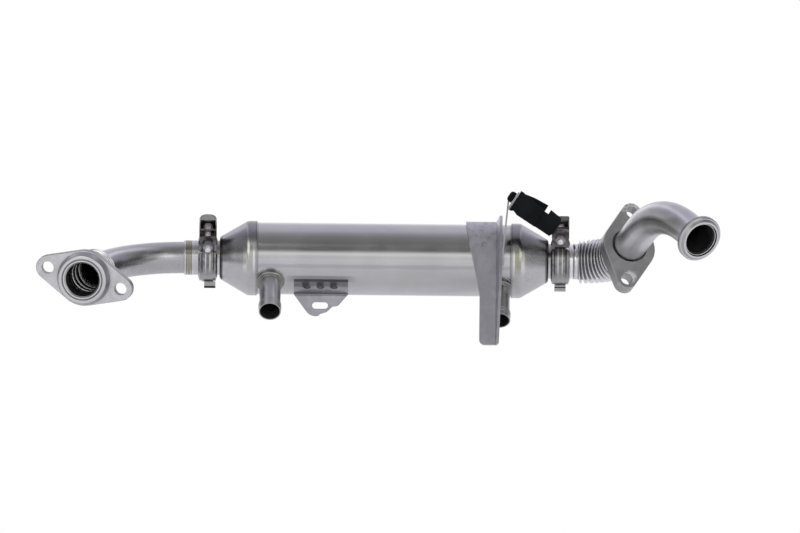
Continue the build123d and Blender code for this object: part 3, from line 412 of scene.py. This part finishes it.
def cap_tint_and_shade(s, colour, cloud):
    """Caps: painted shade on top, straw heat tint and painted glints by the shoulder, and painted shade on
    each cone.
    """
    middle = s.span(s.math("ABSOLUTE", s.axis("Z")), 4.0 * mm, 16.0 * mm, 1.0, 0.0)
    # Painted shade on top
    colour = s.mix(s.rise("Z", 13.0, 20.0), colour, (0.56, 0.555, 0.58), "MULTIPLY")
    colour = s.mix(s.both(s.near("X", 118.4, 5.0, 0.75, cloud), middle), colour, straw)
    colour = s.mix(s.both(s.near("X", -119.0, 3.4, 0.5, cloud), middle), colour, pale_straw)
    # Painted shade on each cone
    cone_shade = s.either(s.spot(-142.5, 8.5, 10.0, 14.0, 0.6), s.spot(139.0, 6.0, 22.0, 15.0, 0.55))
    colour = s.mix(cone_shade, colour, (0.16, 0.155, 0.155))
    # Painted glints by the shoulder
    glint = s.either(s.near("A", 123.0, 2.2, 0.5), s.near("A", 115.2, 0.9, 0.6))
    return s.mix(s.both(glint, middle), colour, glare)


def pipe_bend_shade(s, colour, cloud):
    """Left pipe: painted shade, a dark streak that runs aslant on the outside of its bend."""
    slope = 0.30
    aslant = s.math("SUBTRACT", s.axis("Z"), s.math("MULTIPLY", s.axis("X"), slope))
    away = s.math("ABSOLUTE", s.math("SUBTRACT", aslant, 62.0 * mm))
    across = s.span(away, 1.5 * mm, 5.5 * mm, 0.75, 0.0)
    return s.mix(s.both(across, s.near("X", -219.0, 28.0, 1.0, cloud)), colour, (0.12, 0.12, 0.12))


def elbow_shade(s, colour, cloud):
    """Elbow: painted shade along its back, and painted olive-tinted shade on the inside of its bend."""
    colour = s.mix(s.near("Z", 55.0, 20.0, 0.3), colour, blue_grey_line_and_shade)
    return s.mix(s.spot(243.0, 32.0, 24.0, 10.0, 0.6), colour, (0.17, 0.17, 0.14))


def side_wall_shade(aim):
    """Painted shade: darker metal on the walls that don't face along the axis."""
    return lambda s, colour, cloud: s.mix(s.side(aim, 0.62), colour, painted_shade_grey)


# Looks by short name; tints are axis letter, middle, half width, colour and strength
shell_tints = (("A", 111.8, 0.8, dark, 0.35),)
# Cap tints: a blue-grey line by the braze, painted shade on the nose and a painted highlight on the edge
# beyond it
cap_tints = (("A", 113.1, 0.8, blue_grey_line_and_shade, 0.7), ("A", 144.0, 1.6, dark, 0.85),
             ("A", 146.6, 1.4, (0.8, 0.8, 0.78), 0.6))
sleeve_tints = (("X", 166.4, 16.0, (0.92, 0.92, 0.93), 0.9), ("X", -165.5, 4.5, (0.52, 0.52, 0.54), 0.6),
                ("X", -172.5, 2.2, olive, 0.8), ("X", -170.3, 0.7, brown, 0.7),
                ("X", -174.8, 0.8, brown, 0.7))
looks = {
    "shell": steel("shell_steel", 0.56, 0.13, grain=(50, 1400, 1400), tints=shell_tints, extra=shell_painted_reflections),
    "cap": steel("cap_steel", 0.55, 0.23, grain=(160, 160, 160), grain_depth=0.001, tints=cap_tints,
                 extra=cap_tint_and_shade),
    "pipe": steel("pipe_steel", 0.49, 0.25, 0.03, grain=(120, 120, 120), grain_depth=0.001, stains=0.12,
                  extra=pipe_bend_shade),
    "elbow": steel("elbow_steel", 0.60, 0.30, 0.03, grain=(90, 90, 90), stains=0.2, mottle=0.08,
                   extra=elbow_shade),
    "sleeve": steel("sleeve_steel", 0.70, 0.2, 0.0, grain=(700, 60, 60), tints=sleeve_tints),
    "bellows": steel("bellows_steel", 0.78, 0.2, grain=(200, 200, 200)),
    # Painted shade: a darker copy of the bellows steel for its grooves
    "groove": steel("groove_shade_steel", 0.25, 0.3, grain=(200, 200, 200), stains=0.3),
    "nozzle": steel("nozzle_steel", 0.42, 0.3, 0.0, grain=(300, 60, 60), stains=0.5),
    "collar": steel("collar_steel", 0.30, 0.34, -0.03, grain=(400, 400, 400), grain_depth=0.03, stains=0.8),
    "flange": cast("flange_steel", 0.68, 0.46, 0.08, 0.015, 1300.0, 0.16, side_wall_shade(left_aim)),
    "dark_flange": cast("dark_flange_steel", 0.46, 0.4, 0.1, 0.0, 1000.0, 0.3, patch=lobe_patch),
    "spigot": steel("spigot_steel", 0.66, 0.33, 0.01, centre=left_front, extra=side_wall_shade(left_aim)),
    "ring": steel("ring_steel", 0.66, 0.34, 0.01, centre=ring_origin, extra=side_wall_shade(end_aim)),
    # Painted highlight, for roots inside the bellows and the end ring's collar lip
    "worn": steel("painted_highlight_steel", 0.85, 0.42, 0.0, grain=(300, 300, 300)),
    "bracket": cast("bracket_steel", 0.55, 0.42, 0.08, 0.06, 1800.0, 0.2, leg_marks),
    "slotted": cast("slotted_steel", 0.41, 0.32, 0.06, 0.06, 1500.0, 0.2, pad_shades),
    "strip": cast("strip_steel", 0.36, 0.34, 0.05, 0.03, 1500.0, 0.12),
    "clamp": clamp_band("clamp_steel"),
    "bolt": steel("bolt_steel", 0.72, 0.42, 0.06, grain=(500, 500, 500), grain_depth=0.01, metal=0.65),
    "nut": steel("nut_steel", 0.34, 0.4, 0.08, grain=(500, 500, 500), stains=0.3, metal=0.7),
    "dome": steel("bolt_end_steel", 0.82, 0.3, grain=(2000, 2000, 2000), mottle=0.01, rough_cloud=0.0,
                  metal=0.7),
    "core": steel("core_steel", 0.4, 0.3, 0.0, stains=0.5),
    "gasket": cast("gasket_graphite", 0.08, 0.6, 0.1, 0.0, 2600.0),
    "plastic": plastic("black_plastic"),
    "oxide": oxide("gas_oxide_and_shade"),
    "bead": steel("bead_steel", 0.42, 0.24, 0.0, grain=(300, 300, 300), grain_depth=0.02, stains=0.7),
}

# Part of a node's name, in the order they are tried, and its look
by_name = (
    ("gas_tube", "core"), ("tube_sheet", "core"), ("support_plate", "core"), ("gasket", "gasket"),
    ("connector_bracket", "strip"), ("connector", "plastic"), ("slotted_bracket", "slotted"),
    ("bracket", "bracket"), ("clamp_bolt", "bolt"), ("clamp_nut", "nut"), ("clamp", "clamp"),
    ("end_cap", "cap"), ("sleeve", "sleeve"), ("bellows", "bellows"), ("collar", "collar"),
    ("nozzle", "nozzle"), ("spigot", "spigot"), ("end_ring", "ring"), ("right_flange", "dark_flange"),
    ("flange", "flange"), ("elbow", "elbow"), ("pipe", "pipe"), ("shell", "shell"),
)
for name, node in nodes.items():
    node.data.materials.clear()
    node.data.materials.append(looks[next(look for part, look in by_name if part in name)])


# Mesh helpers; places and sizes are in millimetres
def piece(name, verts, faces, slot, *materials, shades=None):
    """Smooth mesh that rides on the part."""
    data = bpy.data.meshes.new(name)
    data.from_pydata([v * mm for v in verts], [], faces)
    for material in materials:
        data.materials.append(looks[material])
    for number, face in enumerate(data.polygons):
        face.use_smooth = True
        if shades:
            face.material_index = shades[number]
    made = bpy.data.objects.new(name, data)
    scene.collection.objects.link(made)
    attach(made, "root")
    return made


def round_turn(count):
    """Angles of so many even steps once round."""
    return [2 * math.pi * i / count for i in range(count)]


def ring(centre, aim, radius, count):
    """Points once round a circle that faces along a direction."""
    across = aim.cross(Vector((0, 0, 1))).normalized()
    up = across.cross(aim)
    return [centre + (across * math.cos(t) + up * math.sin(t)) * radius for t in round_turn(count)]


def skin(rows, count, closed=False):
    """Faces between rows of points that each go once round."""
    faces = []
    for row in range(rows if closed else rows - 1):
        after = (row + 1) % rows
        for i in range(count):
            j = (i + 1) % count
            faces.append((row * count + i, after * count + i, after * count + j, row * count + j))
    return faces


def lathe(name, sections, slot, *materials, count=72, closed=False, shades=None):
    """Round skin through sections given as centre, direction and radius."""
    verts = [v for centre, aim, radius in sections for v in ring(centre, aim, radius, count)]
    faces = skin(len(sections), count, closed)
    return piece(name, verts, faces, slot, *materials, shades=shades)


def along(origin, aim, profile):
    """Sections about one axis from distances and radii."""
    return [(origin + aim * distance, aim, radius) for distance, radius in profile]


def cord_ring(origin, aim, middle, radius, thickness, count, height=None):
    """Sections of a thin round rim about an axis, as high as it is thick unless a height is given."""
    height = thickness if height is None else height
    return along(origin, aim, [(middle + thickness * math.cos(t), radius + height * math.sin(t))
                               for t in round_turn(count)])


# Weld beads: points along the loop and round the rope, and how its ripples swell
bead_points = 150
rope_points = 10
ripple_advance = 0.9
ripple_length = 3
ripple_low = 0.86
ripple_swell = 0.22
jitter_range = (0.88, 1.12)


def bead(name, points, outward, size, slot="spigot_steel", look="bead"):
    """Weld bead along a closed loop: a small rope with overlapping ripples."""
    count = len(points)
    verts = []
    jitter = [random.uniform(*jitter_range) for _ in range(count)]
    for i, (spot, out) in enumerate(zip(points, outward)):
        forward = (points[(i + 1) % count] - points[i - 1]).normalized()
        side = forward.cross(out).normalized()
        step = i * ripple_advance % ripple_length / ripple_length
        swell = size * (ripple_low + ripple_swell * step) * (jitter[i] + jitter[i - 1]) / 2
        for t in round_turn(rope_points):
            verts.append(spot + (out * math.cos(t) + side * math.sin(t)) * swell)
    piece(name, verts, skin(count, rope_points, True), slot, look)


def ring_bead(name, centre, aim, radius, size, **more):
    """Weld bead round a circle."""
    points = ring(centre, aim, radius, bead_points)
    bead(name, points, [(p - centre).normalized() for p in points], size, **more)


def bent_route(start, corner, stop, radius):
    """Places and directions along two straight runs joined by a tangent arc."""
    steps = 40
    first = (corner - start).normalized()
    last = (stop - corner).normalized()
    angle = first.angle(last)
    tangent = radius * math.tan(angle / 2)
    inward = (last - first * math.cos(angle)).normalized()
    arc_start = corner - first * tangent
    route = [(start, first)]
    for i in range(steps + 1):
        t = angle * i / steps
        spot = arc_start + first * math.sin(t) * radius + inward * (1 - math.cos(t)) * radius
        route.append((spot, first * math.cos(t) + inward * math.sin(t)))
    route.append((stop, last))
    return route


# Bellows: smooth convolutions in place of the coarser ones, dark inside, with painted shade in the grooves
# and painted highlights on some roots inside
cuff = 4.0
cuff_edge = 1.2
cuff_step = 0.5
bellows_sheet = 0.5
crest_r = 19.5
root_r = 15.8
fullness = 1.5
groove_rise = 1.1
highlight_rise = 1.6
highlight_share = 0.42
left_waves = 7
right_waves = 11
left_pipe_cuff_r = 14.55
left_spigot_cuff_r = 17.35
right_sleeve_cuff_r = 15.85
right_elbow_cuff_r = 15.25


def convoluted(name, place, length, waves, start_r, end_r, node):
    """Bellows swept along a route, with a plain cuff at each end; it replaces a CAD node."""
    steps = 18
    count = 80

    def profile(distance):
        if distance < -cuff_step:
            return start_r
        if distance > length + cuff_step:
            return end_r
        if not 0 <= distance <= length:
            return (root_r + start_r) / 2
        turn = math.cos(2 * math.pi * distance / length * waves)
        full = 0.5 - 0.5 * math.tanh(fullness * turn) / math.tanh(fullness)
        return root_r + (crest_r - root_r) * full

    marks = [-cuff, -cuff_edge, -cuff_step]
    marks += [length * i / (steps * waves) for i in range(steps * waves + 1)]
    marks += [length + cuff_step, length + cuff_edge, length + cuff]
    outer = [(*place(d), profile(d)) for d in marks]
    inner = [(*place(d), profile(d) - bellows_sheet) for d in reversed(marks)]
    bright, scale, groove, worn = range(4)
    shades = []
    # Outside, the grooves take the painted shade
    for distance, (centre, aim, radius) in zip(marks, outer):
        in_groove = 0 <= distance <= length and radius < root_r + groove_rise
        shades += [groove if in_groove else bright] * count
    # Inside, one flank of every second root gets a painted highlight
    for distance, (centre, aim, radius) in zip(reversed(marks), inner):
        wave = distance / length * waves
        past = wave - math.floor(wave)
        low = radius < root_r - bellows_sheet + highlight_rise
        highlighted = math.floor(wave) % 2 == 0 and past < highlight_share and low
        shades += [worn if highlighted else scale] * count
    made = lathe(name, outer + inner, "bellows_steel", "bellows", "oxide", "groove", "worn",
                 count=count, closed=True, shades=shades)
    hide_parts(node)


left_length = 28.5
left_turn = left_leave.angle(left_aim)
left_inward = (left_aim - left_leave * math.cos(left_turn)).normalized()


def left_place(distance):
    """Place and direction along the left bellows, which follows an arc."""
    inside = min(max(distance, 0), left_length)
    t = left_turn * inside / left_length
    radius = left_length / left_turn
    spot = left_root + left_leave * math.sin(t) * radius + left_inward * (1 - math.cos(t)) * radius
    aim = left_leave * math.cos(t) + left_inward * math.sin(t)
    return spot + aim * (distance - inside), aim


controls = [Vector((171.485, 0, 0)), Vector((186.485, 0, 0)), Vector((207.387, -11.254, 1.333)),
            Vector((212.359, -23.685, 8.0965))]
curve_steps = 400


def bezier(t):
    a, b, c, d = controls
    spot = a * (1 - t) ** 3 + b * 3 * t * (1 - t) ** 2 + c * 3 * t * t * (1 - t) + d * t ** 3
    aim = (b - a) * (1 - t) ** 2 + (c - b) * 2 * t * (1 - t) + (d - c) * t * t
    return spot, aim.normalized()


lengths = [0.0]
for i in range(curve_steps):
    lengths.append(lengths[-1] + (bezier((i + 1) / curve_steps)[0] - bezier(i / curve_steps)[0]).length)
right_length = lengths[-1]


def right_place(distance):
    """Place and direction along the right bellows, which follows a curve."""
    inside = min(max(distance, 0), right_length)
    i = next((k for k in range(curve_steps) if lengths[k + 1] >= inside), curve_steps - 1)
    t = (i + (inside - lengths[i]) / (lengths[i + 1] - lengths[i])) / curve_steps
    spot, aim = bezier(t)
    return spot + aim * (distance - inside), aim


convoluted("left_bellows_sheet", left_place, left_length, left_waves, left_pipe_cuff_r,
           left_spigot_cuff_r, "left_bellows")
convoluted("right_bellows_sheet", right_place, right_length, right_waves, right_sleeve_cuff_r,
           right_elbow_cuff_r, "right_bellows")

# Gas scale inside the pipes, just clear of their bores
scale_gap = 0.08
elbow_bore_r = 13.7
elbow_bend_r = 100.0
behind_flange = 13.5
elbow_first_run = 79.9
elbow_start = right_front - right_aim * behind_flange
elbow_corner = right_front + right_aim * elbow_first_run
elbow_route = bent_route(elbow_start, elbow_corner, ring_origin, elbow_bend_r)
lathe("elbow_gas_scale", [(c, a, elbow_bore_r - scale_gap) for c, a in elbow_route], "pipe_steel", "oxide")
pipe_bore_r = 12.8
pipe_bend_r = 86.0
pipe_start = Vector((-158.4, 0, 0))
pipe_corner = Vector((-231.493, 0, 0))
pipe_route = bent_route(pipe_start, pipe_corner, left_root, pipe_bend_r)
lathe("left_pipe_gas_scale", [(c, a, pipe_bore_r - scale_gap) for c, a in pipe_route], "pipe_steel", "oxide")
spigot_profile = ((-13.9, 14.95), (6.2, 14.95), (6.9, 15.15))
lathe("spigot_gas_scale", along(left_front, left_aim, spigot_profile), "spigot_steel", "oxide")

# End ring: a dark sheet as painted shade in the pocket round the bore, and a painted highlight on a collar
# lip in it
pocket_profile = ((3.35, 15.86), (-0.36, 15.86), (-0.36, 15.3), (1.6, 15.3))
lathe("ring_pocket_shade", along(ring_origin, end_aim, pocket_profile), "spigot_steel", "oxide")
bore_profile = ((0.04, 13.7), (0.04, 14.7), (1.7, 14.7))
lathe("ring_bore_scale", along(ring_origin, end_aim, bore_profile), "spigot_steel", "oxide")
lathe("ring_lip_highlight", cord_ring(ring_origin, end_aim, 1.9, 15.0, 0.4, 12), "spigot_steel", "worn",
      closed=True)

# Nozzles: dark bore, braze at the foot and top of the collar, and two hose ridges
nozzle_scale_r = 8.36
nozzle_mouth_scale_r = 8.75
nozzle_scale_start = 27.0
collar_r = 12.1
collar_height = 3.25
braze_out = 0.15
braze_lean = 0.7
for side, x, drop, length in (("left", -100.6, 39.2, 42.45), ("right", 102.4, 49.0, 38.35)):
    aim = Vector((0, -math.cos(math.radians(drop)), -math.sin(math.radians(drop))))
    foot = Vector((x, 0, 0))
    across = aim.cross(X)
    reach = shell_r + length
    bore = ((nozzle_scale_start, nozzle_scale_r), (reach - 9.2, nozzle_scale_r),
            (reach - 7.8, nozzle_mouth_scale_r), (reach - 0.5, nozzle_mouth_scale_r))
    lathe(f"{side}_nozzle_scale", along(foot, aim, bore), "nozzle_steel", "oxide")
    # The collar's round meets the shell in a saddle
    saddle = []
    outward = []
    braze_r = collar_r + braze_out
    for t in round_turn(bead_points):
        lateral = braze_r * math.sin(t)
        height = math.sqrt((shell_r + braze_out) ** 2 - lateral ** 2)
        saddle.append(foot + X * braze_r * math.cos(t) + across * lateral + aim * height)
        outward.append((X * math.cos(t) + across * math.sin(t) + aim * braze_lean).normalized())
    bead(f"{side}_collar_braze", saddle, outward, 0.75, "nozzle_steel")
    for number, back in enumerate((8.0, 5.0)):
        ridge = cord_ring(foot, aim, reach - back, 9.85, 0.45, 10, height=0.3)
        lathe(f"{side}_nozzle_ridge_{number + 1}", ridge, "nozzle_steel", "nozzle", closed=True)
    collar_top = foot + aim * (shell_r + collar_height + 0.1)
    ring_bead(f"{side}_nozzle_braze", collar_top, aim, 9.6, 0.45, slot="nozzle_steel")

# Weld beads where tubes end in or on their neighbours
for side, sign in (("left", -1), ("right", 1)):
    ring_bead(f"{side}_cap_braze", X * sign * 112.45, X, 31.95, 0.42, slot="shell_steel")
ring_bead("left_sleeve_weld", X * -176.6, X, 14.3, 0.5, slot="sleeve_steel", look="pipe")
ring_bead("right_sleeve_weld", X * 167.4, X, 15.4, 0.3, slot="sleeve_steel", look="sleeve")
ring_bead("left_pipe_weld", left_root - left_leave * (cuff + 0.1), left_leave, 14.2, 0.5, slot="pipe_steel")
ring_bead("left_spigot_weld", left_place(left_length + cuff)[0] - left_aim * 0.4, left_aim, 17.5, 0.5)
ring_bead("elbow_weld", ring_origin - end_aim * 3.9, end_aim, 14.95, 0.7)
ring_bead("right_cuff_weld", right_place(right_length + cuff)[0] - right_aim * 0.5, right_aim, 15.3, 0.5)

# Clamps: thread and domed end on each bolt, and spot welds on each strap
clamp_x = 155.985
bolt_radius_out = 27.0
bolt_r = 2.5
thread_start = 14.8
thread_stop = 17.8
thread_pitch = 0.8
thread_depth = 0.16
pitch_steps = 12
dome_start = 17.75
dome_r = 2.62
dome_tip_r = 0.01
dome_height = 1.1
dome_steps = 10
weld_r = 21.17
weld_places = (132.0, 150.0, 205.0, 235.0, 290.0)
weld_profile = ((0.0, 1.5), (0.16, 1.35), (0.18, 1.1), (0.05, 0.8), (0.03, 0.02))


def thread_radius(distance):
    """Radius of the thread's ridges at a distance along the bolt."""
    return bolt_r + thread_depth * (0.5 - 0.5 * math.cos(2 * math.pi * distance / thread_pitch))


for side, x, angle in (("left", -clamp_x, 45.0), ("right", clamp_x, 25.0)):
    turn = math.radians(angle)
    radial = Vector((0, -math.sin(turn), math.cos(turn)))
    out = Vector((0, -math.cos(turn), -math.sin(turn)))
    axis = X * x + radial * bolt_radius_out
    steps = int((thread_stop - thread_start) / thread_pitch * pitch_steps)
    places = [thread_start + (thread_stop - thread_start) * i / steps for i in range(steps + 1)]
    thread = along(axis, out, [(d, thread_radius(d)) for d in places])
    lathe(f"{side}_bolt_thread", thread, "bolt_steel", "bolt", count=28)
    rises = [math.pi / 2 * i / dome_steps for i in range(dome_steps + 1)]
    dome = along(axis, out, [(dome_start + dome_height * math.sin(t), max(dome_r * math.cos(t), dome_tip_r))
                             for t in rises])
    lathe(f"{side}_bolt_dome", dome, "bolt_steel", "dome", count=28)
    for number, place in enumerate(weld_places):
        t = math.radians(place)
        up = Vector((0, -math.sin(t), math.cos(t)))
        dish = along(X * x + up * weld_r, up, weld_profile)
        lathe(f"{side}_spot_weld_{number + 1}", dish, "clamp_steel", "clamp", count=24)

# Floor: pale paper that gives back a little light
floor_gap = 0.0005
bpy.ops.mesh.primitive_plane_add(size=12, location=(0, 0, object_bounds()[0][2] - floor_gap))
floor = bpy.context.object
floor.name = "floor"
ground = Shader("floor_paper")
paper = ground.mix(ground.noise(3.0, 2.0), (0.86, 0.86, 0.87), (0.89, 0.89, 0.89))
floor.data.materials.append(ground.set(
    Base_Color=paper, Roughness=0.9, Emission_Color=(1, 1, 1, 1), Emission_Strength=0.24))

# Studio room: bands of light by the height over the front horizon, in degrees
world = bpy.data.worlds.new("studio")
scene.world = world
world.use_nodes = True
room = Nodes(world.node_tree)
sky = room.tree.nodes["Background"]
split = room.node("ShaderNodeSeparateXYZ")
room.feed(split.inputs[0], room.node("ShaderNodeTexCoord").outputs["Generated"])
height_bands = (
    (-180, (1.0, 1.0, 1.0)), (-90, (0.75, 0.75, 0.76)), (-4, (0.86, 0.86, 0.86)), (8, (0.78, 0.78, 0.78)),
    (16, (1.1, 1.1, 1.07)), (21, (0.75, 0.75, 0.73)), (28, (0.17, 0.17, 0.165)), (50, (0.205, 0.205, 0.20)),
    (74, (0.29, 0.29, 0.30)), (88, (0.40, 0.40, 0.43)), (101, (0.62, 0.61, 0.68)), (118, (0.70, 0.68, 0.77)),
    (140, (0.74, 0.73, 0.80)), (160, (1.0, 1.0, 1.0)),
)
turn = room.math("ARCTAN2", split.outputs["Z"], room.math("MULTIPLY", split.outputs["Y"], -1.0))
share = room.math("ADD", room.math("DIVIDE", turn, 2 * math.pi), 0.5)
height_stops = [(angle / 360 + 0.5, colour) for angle, colour in height_bands]
room.feed(sky.inputs["Color"], room.ramp(share, height_stops))

# Towards the two ends a narrow bright screen and then a darker room; the ramp holds half the strength
side_bands = ((0.0, 0.5), (0.28, 0.5), (0.36, 0.85), (0.46, 0.85), (0.54, 0.40), (0.78, 0.30), (1.0, 0.40))
sideways = room.math("ABSOLUTE", split.outputs["X"])
half_strength = room.ramp(sideways, [(position, (level,) * 3) for position, level in side_bands])
room.feed(sky.inputs["Strength"], room.math("MULTIPLY", half_strength, 2.0))

# The background is white to the camera, and to mirror and clear rays that leave behind the part
path = room.node("ShaderNodeLightPath")
straight_back = 0.93
behind = room.math("GREATER_THAN", split.outputs["Y"], straight_back)
mirrored = room.both(room.either(path.outputs["Is Glossy Ray"], path.outputs["Is Transmission Ray"]), behind)
white = room.node("ShaderNodeBackground")
white.inputs["Color"].default_value = (1, 1, 1, 1)
blend = room.node("ShaderNodeMixShader")
room.feed(blend.inputs[0], room.either(path.outputs["Is Camera Ray"], mirrored))
room.feed(blend.inputs[1], sky.outputs[0])
room.feed(blend.inputs[2], white.outputs[0])
room.feed(room.tree.nodes["World Output"].inputs["Surface"], blend.outputs[0])


def softbox(name, position, size, power):
    """Large soft lamp that faces the part."""
    data = bpy.data.lights.new(name, "AREA")
    data.size = size
    data.energy = power
    lamp = bpy.data.objects.new(name, data)
    scene.collection.objects.link(lamp)
    lamp.location = position
    lamp.rotation_euler = (-Vector(position)).to_track_quat("-Z", "Y").to_euler()


softbox("key", (-1.2, -2.2, 1.6), 1.8, 12.0)
softbox("fill", (1.6, -1.8, 0.9), 1.4, 7.0)
